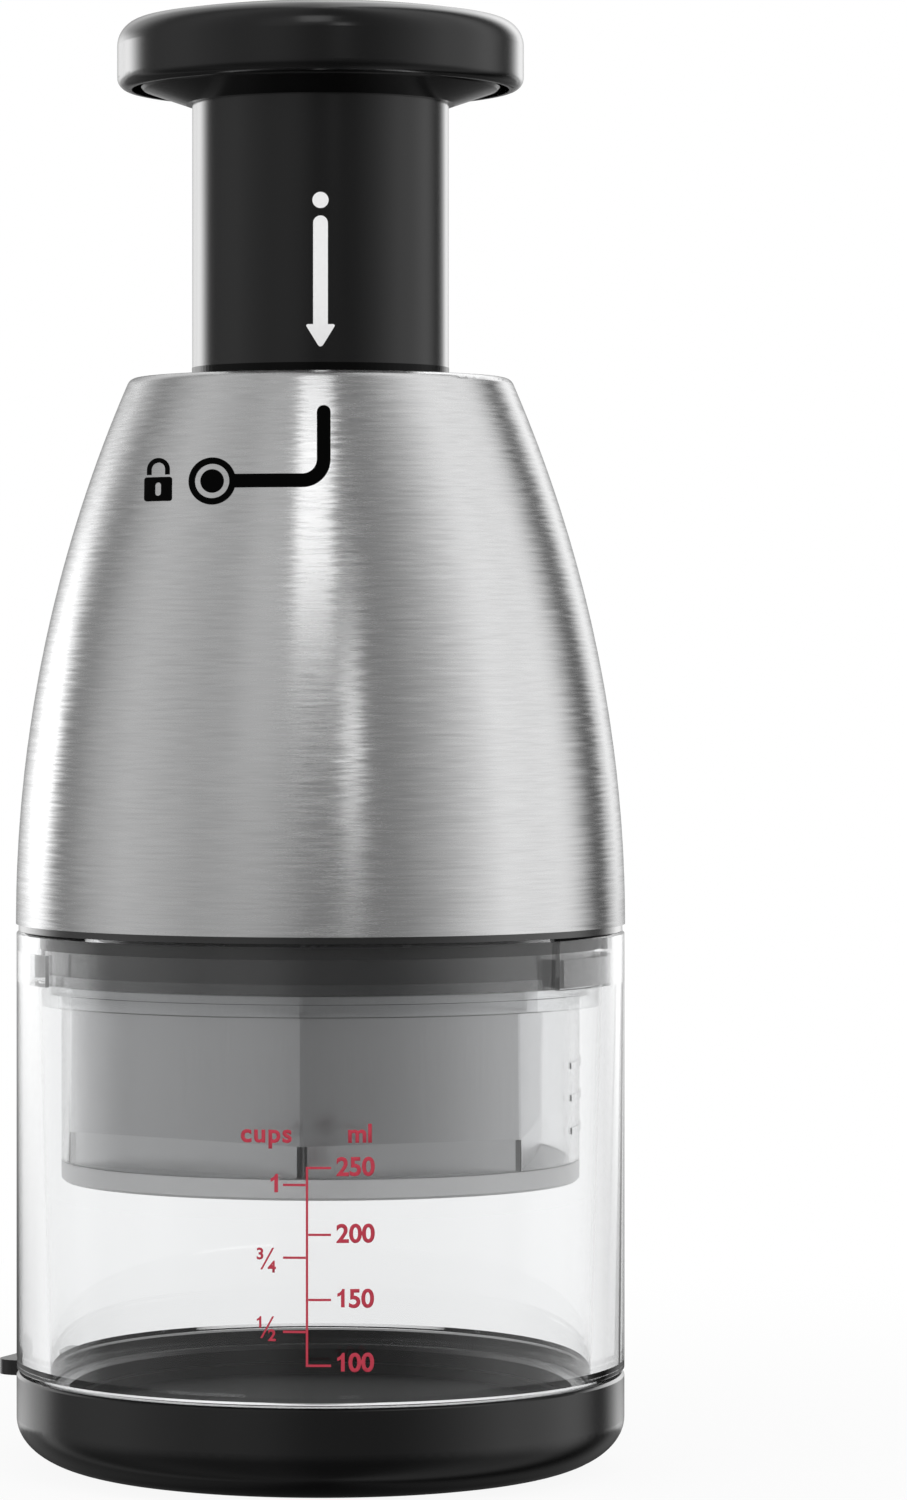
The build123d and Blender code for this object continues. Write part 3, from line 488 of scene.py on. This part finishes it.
# Finishes by the record's slots
finishes = {
    "black_plastic": moulded_plastic("black_plastic", (0.0016, 0.0016, 0.0017), 0.2, wax=1.0),
    "dark_plastic": moulded_plastic("dark_plastic", (0.003, 0.003, 0.0031), 0.2, wax=1.0, wax_index=1.6),
    "inner_plastic": moulded_plastic("inner_plastic", (0.035, 0.035, 0.038), 0.45),
    "clear_plastic": clear_plastic("clear_plastic", (0.985, 0.988, 0.99), 0.01, 18.0),
    "smoke_plastic": cup_plastic("smoke_plastic", (0.95, 0.952, 0.955), 0.05, 0.03, 0.95, 0.3),
    "satin_steel": satin_sheet("satin_steel", (0.76, 0.76, 0.765), 0.3, 150.0),
    "mat_plastic": moulded_plastic("mat_plastic", (0.009, 0.009, 0.0095), 0.6, shine=0.15),
    "nylon": moulded_plastic("nylon", (0.7, 0.69, 0.65), 0.5),
    "rubber": moulded_plastic("rubber", (0.012, 0.012, 0.012), 0.62, grain=1400.0, relief=0.15),
    "brushed_steel": brushed_steel("brushed_steel", (0.9, 0.902, 0.905), 0.25, 0.8, 0.05),
    "blade_steel": bare_metal("blade_steel", (0.42, 0.42, 0.425), 0.42, 700.0),
    "spring_steel": bare_metal("spring_steel", (0.5, 0.5, 0.51), 0.25, 400.0),
    "screw_steel": bare_metal("screw_steel", (0.6, 0.6, 0.61), 0.3, 900.0),
}
for part in frame["record"]["subparts"]:
    piece = nodes[part["node"]]
    piece.data.materials.clear()
    piece.data.materials.append(finishes[part["material_slot"]])

red_ink = printed_ink("red_ink", (0.5, 0.04, 0.07), 0.3)
white_ink = printed_ink("white_ink", (0.9, 0.9, 0.9), 0.2)
black_ink = printed_ink("black_ink", (0.0008, 0.0008, 0.0008), 0.04, 0.6)
# Painted shadow: near-black ink for the dark band round the foot of the stem
shadow_band_ink = printed_ink("shadow_band_ink", (0.0008, 0.0008, 0.0008), 0.15, 0.2)


def select_only(piece):
    """Make one object the only selected and the active one."""
    bpy.ops.object.select_all(action="DESELECT")
    piece.select_set(True)
    bpy.context.view_layer.objects.active = piece


def apply_place():
    """Put the place and turn of the selected object into its mesh."""
    bpy.ops.object.transform_apply(location=True, rotation=True, scale=True)


def flat_outline(name, loops):
    """Flat filled outline in the X and Z plane, in millimetres, from closed loops of points."""
    curve = bpy.data.curves.new(name, "CURVE")
    curve.dimensions = "2D"
    curve.fill_mode = "BOTH"
    for loop in loops:
        spline = curve.splines.new("POLY")
        spline.points.add(len(loop) - 1)
        for point, (x, z) in zip(spline.points, loop):
            point.co = (x * MM, z * MM, 0, 1)
        spline.use_cyclic_u = True
    piece = bpy.data.objects.new(name, curve)
    bpy.context.scene.collection.objects.link(piece)
    select_only(piece)
    bpy.ops.object.convert(target="MESH")
    return bpy.context.view_layer.objects.active


def flat_text(name, words, x, z, size, spacing=1.0):
    """Flat plain lettering in the X and Z plane, its foot on a height and the folds in its notches merged."""
    bpy.ops.object.select_all(action="DESELECT")
    bpy.ops.object.text_add()
    piece = bpy.context.view_layer.objects.active
    piece.name = name
    piece.data.body = words
    piece.data.size = size * MM
    piece.data.offset = size * TEXT_WEIGHT * MM / 2
    piece.data.space_character = spacing
    piece.location = (x * MM, z * MM, 0)
    select_only(piece)
    bpy.ops.object.convert(target="MESH")
    apply_place()
    bpy.ops.object.mode_set(mode="EDIT")
    bpy.ops.mesh.select_all(action="SELECT")
    bpy.ops.mesh.remove_doubles(threshold=LETTER_MERGE * MM)
    bpy.ops.mesh.select_all(action="SELECT")
    bpy.ops.mesh.dissolve_degenerate(threshold=LETTER_MERGE * MM)
    bpy.ops.object.mode_set(mode="OBJECT")
    return bpy.context.view_layer.objects.active


def flat_number(words, x, z, size):
    """Plain number, with an upright and flag of its own for each leading one."""
    marks = []
    tall = size * DIGIT_SHARE
    while words.startswith("1"):
        marks.append(flat_outline("digit_one", [[(x + u * tall, z + v * tall) for u, v in ONE_OUTLINE]]))
        x += DIGIT_STEP * size / TEXT_SIZE
        words = words[1:]
    if words:
        marks.append(flat_text("digits", words, x, z, size))
    return marks


def flat_fraction(words, z):
    """Small fraction on a slant: upper number, stroke and lower number about a height."""
    upper, lower = words.split("/")
    stroke = [
        (SLASH_X - SLASH_LEAN, z + SLASH_FOOT),
        (SLASH_X - SLASH_LEAN + SLASH_WIDTH, z + SLASH_FOOT),
        (SLASH_X + SLASH_LEAN + SLASH_WIDTH, z + SLASH_TOP),
        (SLASH_X + SLASH_LEAN, z + SLASH_TOP),
    ]
    return [
        *flat_number(upper, FRACTION_LEFT, z + FRACTION_RISE, FRACTION_SIZE),
        flat_outline("fraction_stroke", [stroke]),
        *flat_number(lower, FRACTION_RIGHT, z + FRACTION_DROP, FRACTION_SIZE),
    ]


def arc(centre, radius, start, end, steps=ARC_STEPS):
    """Points of an arc about a centre, angles in degrees."""
    return [
        (
            centre[0] + radius * math.cos(math.radians(start + (end - start) * step / steps)),
            centre[1] + radius * math.sin(math.radians(start + (end - start) * step / steps)),
        )
        for step in range(steps + 1)
    ]


def circle(centre, radius):
    """Closed loop of a circle."""
    return arc(centre, radius, 0, 360, CIRCLE_STEPS)[:-1]


def rectangle(left, right, bottom, top):
    """Closed loop of a rectangle."""
    return [(left, bottom), (right, bottom), (right, top), (left, top)]


def print_onto(piece, node, body, ink):
    """Stand a flat mark up, cut it into narrow strips and lay it on the front of a node as a thin film."""
    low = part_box(node)[0]
    select_only(piece)
    piece.rotation_euler.x = math.radians(90)
    piece.location.y = low.y - INK_START * MM
    apply_place()
    columns = [vertex.co.x for vertex in piece.data.vertices]
    strips = int((max(columns) - min(columns)) / (INK_STRIP * MM))
    bpy.ops.object.mode_set(mode="EDIT")
    for strip in range(1, strips + 1):
        bpy.ops.mesh.select_all(action="SELECT")
        cut = min(columns) + strip * INK_STRIP * MM
        bpy.ops.mesh.bisect(plane_co=(cut, 0, 0), plane_no=(1, 0, 0))
    bpy.ops.object.mode_set(mode="OBJECT")
    wrap = piece.modifiers.new("wrap", "SHRINKWRAP")
    wrap.target = nodes[node]
    wrap.wrap_method = "PROJECT"
    wrap.wrap_mode = "ABOVE_SURFACE"
    wrap.use_project_x = False
    wrap.use_project_y = True
    wrap.use_project_z = False
    wrap.use_positive_direction = True
    wrap.use_negative_direction = False
    wrap.offset = INK_GAP * MM
    bpy.ops.object.modifier_apply(modifier=wrap.name)
    finish_ink(piece, body, ink)


def finish_ink(piece, body, ink):
    """Give a laid out mark its thickness, its ink and the body that it moves with."""
    film = piece.modifiers.new("film", "SOLIDIFY")
    film.thickness = INK_THICKNESS * MM
    film.offset = 1.0
    bpy.ops.object.modifier_apply(modifier=film.name)
    piece.data.materials.clear()
    piece.data.materials.append(ink)
    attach(piece, body)


def join_marks(name, marks):
    """Join several flat marks into one."""
    select_only(marks[0])
    for mark in marks[1:]:
        mark.select_set(True)
    bpy.ops.object.join()
    marks[0].name = name
    return marks[0]


# White dot and arrow on the stem
shaft = ARROW_SHAFT_WIDTH / 2
barb = ARROW_ROUNDING / 2
barb_x = ARROW_HEAD_WIDTH / 2 - barb
barb_z = ARROW_NECK - barb
arrow_loop = [
    *arc((0, ARROW_TOP - shaft), shaft, 0, 180),
    (-shaft, ARROW_NECK),
    *arc((-barb_x, barb_z), barb, 90, 180 + ARROW_LEAN, CORNER_STEPS),
    *arc((0, ARROW_TIP + ARROW_ROUNDING), ARROW_ROUNDING, 180 + ARROW_LEAN, 360 - ARROW_LEAN, CORNER_STEPS),
    *arc((barb_x, barb_z), barb, -ARROW_LEAN, 90, CORNER_STEPS),
    (shaft, ARROW_NECK),
]
arrow = flat_outline("stem_arrow", [arrow_loop, circle((0, DOT_HEIGHT), DOT_RADIUS)])
print_onto(arrow, "stem_tube", "plunger", white_ink)

# Black lock track with its end ring on the steel shell
half = TRACK_WIDTH / 2
bend = (TRACK_X - TRACK_BEND_RADIUS, TRACK_BEND_HEIGHT + TRACK_BEND_RADIUS)
ring_centre = (RING_X, TRACK_BEND_HEIGHT)
ring_join = math.degrees(math.asin(half / RING_OUTER))
track_loop = [
    *arc((TRACK_X, TRACK_TOP - half), half, 0, 180),
    *arc(bend, TRACK_BEND_RADIUS - half, 0, -90),
    *arc(ring_centre, RING_OUTER, ring_join, 360 - ring_join, CIRCLE_STEPS),
    *arc(bend, TRACK_BEND_RADIUS + half, -90, 0),
]
track = flat_outline(
    "lock_track", [track_loop, circle(ring_centre, RING_INNER), circle(ring_centre, RING_DOT)]
)
print_onto(track, "steel_shell", "housing", black_ink)

# Black open padlock
corner_x = LOCK_BODY_WIDTH / 2 - LOCK_ROUNDING
corner_z = LOCK_BODY_HEIGHT / 2 - LOCK_ROUNDING
body_loop = []
for side_x, side_z, start in ((1, 1, 0), (-1, 1, 90), (-1, -1, 180), (1, -1, 270)):
    corner = (LOCK_X + side_x * corner_x, LOCK_HEIGHT + side_z * corner_z)
    body_loop += arc(corner, LOCK_ROUNDING, start, start + 90, CORNER_STEPS)
key_half = LOCK_KEY_WIDTH / 2
key_top = LOCK_HEIGHT + LOCK_KEY_HEIGHT / 2 - key_half
key_foot = LOCK_HEIGHT - LOCK_KEY_HEIGHT / 2 + key_half
key_loop = [
    *arc((LOCK_X, key_top), key_half, 0, 180, KEY_STEPS),
    *arc((LOCK_X, key_foot), key_half, 180, 360, KEY_STEPS),
]
bow = SHACKLE_WIDTH / 2
bow_centre = (LOCK_X, SHACKLE_TOP - bow)
shackle_loop = [
    (LOCK_X + bow, SHACKLE_FOOT),
    *arc(bow_centre, bow, 0, 180),
    (LOCK_X - bow, SHACKLE_FOOT),
    (LOCK_X - bow + SHACKLE_STROKE, SHACKLE_FOOT),
    *arc(bow_centre, bow - SHACKLE_STROKE, 180, 0),
    (LOCK_X + bow - SHACKLE_STROKE, SHACKLE_FOOT),
]
padlock = flat_outline("padlock_mark", [body_loop, key_loop, shackle_loop])
print_onto(padlock, "steel_shell", "housing", black_ink)

# Red scale on the container, in millilitres and cups
stroke = SCALE_STROKE / 2
scale_top = max(ML_HEIGHTS.values()) + stroke
scale_foot = min(ML_HEIGHTS.values()) - stroke
tick_right = SCALE_X + stroke + TICK_GAP
tick_left = SCALE_X - stroke - TICK_GAP
lines = [rectangle(SCALE_X - stroke, SCALE_X + stroke, scale_foot, scale_top)]
lines += [rectangle(tick_right, SCALE_RIGHT, z - stroke, z + stroke) for z in ML_HEIGHTS.values()]
lines += [rectangle(SCALE_LEFT, tick_left, z - stroke, z + stroke) for z in CUP_HEIGHTS.values()]
marks = [flat_outline("scale_line", [line]) for line in lines]
for words, z in ML_HEIGHTS.items():
    foot = z + LABEL_LIFT.get(words, LABEL_LIFT_USUAL) - DIGIT_HEIGHT / 2
    marks += flat_number(words, ML_TEXT_X, foot, TEXT_SIZE)
for words, z in CUP_HEIGHTS.items():
    if "/" in words:
        marks += flat_fraction(words, z + LABEL_LIFT.get(words, 0.0))
    else:
        foot = z + LABEL_LIFT_USUAL - DIGIT_HEIGHT / 2
        marks += flat_number(words, CUP_TEXT_X - DIGIT_HEIGHT * ONE_RIGHT, foot, TEXT_SIZE)
marks.append(flat_text("unit_ml", "ml", UNIT_ML_X, UNIT_HEIGHT, TEXT_SIZE))
marks.append(flat_text("unit_cups", "cups", UNIT_CUPS_X, UNIT_HEIGHT, TEXT_SIZE, TEXT_SPREAD))
scale = join_marks("measuring_scale", marks)
print_onto(scale, "container", "container", red_ink)

# Painted shadow at the foot of the stem, seen when it is fully up: a thin band of near-black ink round the
# stem just above the shell, moving with the plunger
bpy.ops.object.select_all(action="DESELECT")
bpy.ops.mesh.primitive_circle_add(
    vertices=SHADOW_BAND_STEPS, radius=(STEM_RADIUS + INK_GAP) * MM, location=(0, 0, SHADOW_BAND_BOTTOM * MM)
)
foot_shadow_band = bpy.context.view_layer.objects.active
foot_shadow_band.name = "stem_foot_ring"
apply_place()
bpy.ops.object.mode_set(mode="EDIT")
bpy.ops.mesh.select_all(action="SELECT")
bpy.ops.mesh.extrude_edges_move(
    TRANSFORM_OT_translate={"value": (0, 0, (SHADOW_BAND_TOP - SHADOW_BAND_BOTTOM) * MM)}
)
bpy.ops.mesh.select_all(action="SELECT")
bpy.ops.mesh.normals_make_consistent(inside=False)
bpy.ops.object.mode_set(mode="OBJECT")
finish_ink(foot_shadow_band, "plunger", shadow_band_ink)

# Return spring, copied with its near points merged and shaded smooth, moving with the housing
wound_spring = bpy.data.objects.new("wound_spring", nodes["return_spring"].data.copy())
bpy.context.scene.collection.objects.link(wound_spring)
select_only(wound_spring)
bpy.ops.object.mode_set(mode="EDIT")
bpy.ops.mesh.select_all(action="SELECT")
bpy.ops.mesh.remove_doubles(threshold=SPRING_MERGE * MM)
bpy.ops.object.mode_set(mode="OBJECT")
bpy.ops.object.shade_smooth_by_angle(angle=math.radians(SPRING_EDGE_ANGLE))
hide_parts("return_spring")
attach(wound_spring, "housing")
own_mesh(wound_spring)


def straight_view(recipe, light_path, behind=0.0):
    """1 for what the camera sees directly or through clear walls, 0 for light bounced from elsewhere."""
    bounces = work_out(recipe, "ADD", light_path.outputs["Glossy Depth"], light_path.outputs["Diffuse Depth"])
    unbounced = work_out(recipe, "LESS_THAN", bounces, 0.5)
    unbounced = work_out(recipe, "MAXIMUM", unbounced, behind)
    through = work_out(recipe, "MULTIPLY", light_path.outputs["Is Transmission Ray"], unbounced)
    return work_out(recipe, "MAXIMUM", light_path.outputs["Is Camera Ray"], through)


def mix_light(recipe, share, first, second):
    """Mix of two shaders or lights by a share of the second."""
    mix = recipe.nodes.new("ShaderNodeMixShader")
    recipe.links.new(share, mix.inputs["Fac"])
    recipe.links.new(first, mix.inputs[1])
    recipe.links.new(second, mix.inputs[2])
    return mix.outputs["Shader"]


# Floor
bpy.ops.object.select_all(action="DESELECT")
bpy.ops.mesh.primitive_plane_add(size=FLOOR_SIZE, location=(0, 0, 0))
floor = bpy.context.view_layer.objects.active
floor.name = "floor"
floor.visible_glossy = False
floor_finish, floor_recipe, floor_shader = new_finish("floor_white")
floor_shader.inputs["Base Color"].default_value = FLOOR_COLOUR
floor_shader.inputs["Roughness"].default_value = FLOOR_ROUGHNESS
floor_shader.inputs["Specular IOR Level"].default_value = 0.0
floor_glow = add_step(floor_recipe, "ShaderNodeEmission", Color=WHITE, Strength=1.0)
floor_open = floor_recipe.nodes.new("ShaderNodeBsdfTransparent")
floor_path = floor_recipe.nodes.new("ShaderNodeLightPath")
floor_place = floor_recipe.nodes.new("ShaderNodeTexCoord")
floor_reach = add_step(floor_recipe, "ShaderNodeVectorMath", operation="LENGTH")
floor_recipe.links.new(floor_place.outputs["Object"], floor_reach.inputs[0])
whiteness = spread(floor_recipe, floor_reach.outputs["Value"], FLOOR_WHITE, 1.0, *SHADOW_REACH, "SMOOTHSTEP")
floor_share = work_out(floor_recipe, "MULTIPLY", straight_view(floor_recipe, floor_path), whiteness)
floor_seen = mix_light(
    floor_recipe, floor_share, floor_shader.outputs["BSDF"], floor_glow.outputs["Emission"]
)
floor_mirrored = work_out(floor_recipe, "MINIMUM", floor_path.outputs["Glossy Depth"], 1.0)
floor_light = mix_light(floor_recipe, floor_mirrored, floor_seen, floor_open.outputs["BSDF"])
floor_recipe.links.new(floor_light, floor_recipe.nodes["Material Output"].inputs["Surface"])
floor.data.materials.append(floor_finish)

# Studio
world = bpy.data.worlds.new("studio")
bpy.context.scene.world = world
world.use_nodes = True
studio = world.node_tree
studio.nodes.clear()
direction = studio.nodes.new("ShaderNodeTexCoord")
split = studio.nodes.new("ShaderNodeSeparateXYZ")
studio.links.new(direction.outputs["Generated"], split.inputs["Vector"])
front = work_out(studio, "MULTIPLY", split.outputs["Y"], -1.0)
height = split.outputs["Z"]
azimuth = work_out(studio, "ARCTAN2", split.outputs["X"], front)
behind = work_out(studio, "ABSOLUTE", azimuth)
turn = work_out(studio, "ADD", work_out(studio, "DIVIDE", azimuth, 2 * math.pi), 0.5)
panels = studio.nodes.new("ShaderNodeValToRGB")
studio.links.new(turn, panels.inputs["Fac"])
stops = panels.color_ramp.elements
for index, (angle, level) in enumerate(sorted(PANELS.items())):
    place = (angle + 180) / 360
    if index < 2:
        stop = stops[index]
        stop.position = place
    else:
        stop = stops.new(place)
    stop.color = (level / PANEL_PEAK, level / PANEL_PEAK, level / PANEL_PEAK, 1)


def fade(value, edge, low=0.0, high=1.0):
    """Soft step from low to high where a value crosses an edge."""
    start, end = edge
    return spread(studio, value, low, high, start, end, "SMOOTHSTEP")


def both(first, second):
    """Product of two values of the studio."""
    return work_out(studio, "MULTIPLY", first, second)


def dimmed(level, share):
    """Level with a share of it taken away."""
    return both(level, work_out(studio, "SUBTRACT", 1.0, share))


panel_light = both(panels.outputs["Color"], PANEL_PEAK)
left_shade = both(fade(height, LEFT_SHADE_HEIGHT, 0.0, LEFT_SHADE), fade(azimuth, LEFT_SHADE_SIDE))
back_shade = both(fade(height, BACK_SHADE_HEIGHT, 0.0, BACK_SHADE), fade(behind, BACK_SHADE_SIDE))
base_band = work_out(
    studio, "MAXIMUM", fade(height, BASE_BAND_TOP, 1.0, BASE_BAND), fade(height, BASE_BAND_FOOT)
)
low_shade = fade(height, LOW_SHADE_HEIGHT, 0.0, LOW_SHADE)
for shade in (left_shade, both(back_shade, base_band), low_shade):
    panel_light = dimmed(panel_light, shade)
back_light = both(fade(height, BACK_LIGHT_HEIGHT, 0.0, BACK_LIGHT), fade(behind, BACK_LIGHT_SIDE))
panel_light = work_out(studio, "ADD", panel_light, back_light)
for level, side_start, side_end, height_start, height_end in WINDOWS.values():
    side = both(fade(azimuth, side_start, 0.0, level), fade(azimuth, side_end, 1.0, 0.0))
    rise = both(fade(height, height_start), fade(height, height_end, 1.0, 0.0))
    panel_light = work_out(studio, "ADD", panel_light, both(side, rise))
mirrored = add_step(studio, "ShaderNodeBackground", Strength=1.0)
studio.links.new(panel_light, mirrored.inputs["Color"])
backdrop = add_step(studio, "ShaderNodeBackground", Color=WHITE, Strength=1.0)
room = add_step(studio, "ShaderNodeBackground", Color=WHITE, Strength=ROOM_LIGHT)
path = studio.nodes.new("ShaderNodeLightPath")
glanced = work_out(studio, "MINIMUM", path.outputs["Glossy Depth"], 1.0)
glanced = both(path.outputs["Is Transmission Ray"], glanced)
shiny = work_out(studio, "MAXIMUM", path.outputs["Is Glossy Ray"], glanced)
unseen = mix_light(studio, shiny, room.outputs["Background"], mirrored.outputs["Background"])
seen = straight_view(studio, path, fade(behind, BACKDROP_SIDE))
studio_light = mix_light(studio, seen, unseen, backdrop.outputs["Background"])
studio_out = studio.nodes.new("ShaderNodeOutputWorld")
studio.links.new(studio_light, studio_out.inputs["Surface"])

# Lamps
for name, (place, aim, size, power, mirrored_too) in LAMPS.items():
    lamp = bpy.data.lights.new(name, "AREA")
    lamp.shape = "RECTANGLE"
    lamp.size, lamp.size_y = size
    lamp.energy = power
    holder = bpy.data.objects.new(name, lamp)
    bpy.context.scene.collection.objects.link(holder)
    holder.location = place
    holder.rotation_euler = (Vector(aim) - Vector(place)).to_track_quat("-Z", "Y").to_euler()
    holder.visible_glossy = mirrored_too

# Camera
camera_data = bpy.data.cameras.new("camera")
camera_data.sensor_fit = "HORIZONTAL"
camera_data.sensor_width = SENSOR_WIDTH
camera_data.lens = FOCAL_PIXELS / FRAME_WIDTH * SENSOR_WIDTH
camera_data.shift_x = (FRAME_CENTRE[0] - AXIS_COLUMN) / FRAME_WIDTH
camera_data.shift_y = (EYE_ROW - FRAME_CENTRE[1]) / FRAME_WIDTH
camera_data.clip_start = NEAREST_SEEN * MM
camera = bpy.data.objects.new("camera", camera_data)
camera.location = (0, -CAMERA_DISTANCE * MM, EYE_HEIGHT * MM)
camera.rotation_euler = (math.radians(90), 0, 0)
bpy.context.scene.collection.objects.link(camera)
bpy.context.scene.camera = camera
bpy.context.scene.view_settings.view_transform = "Standard"
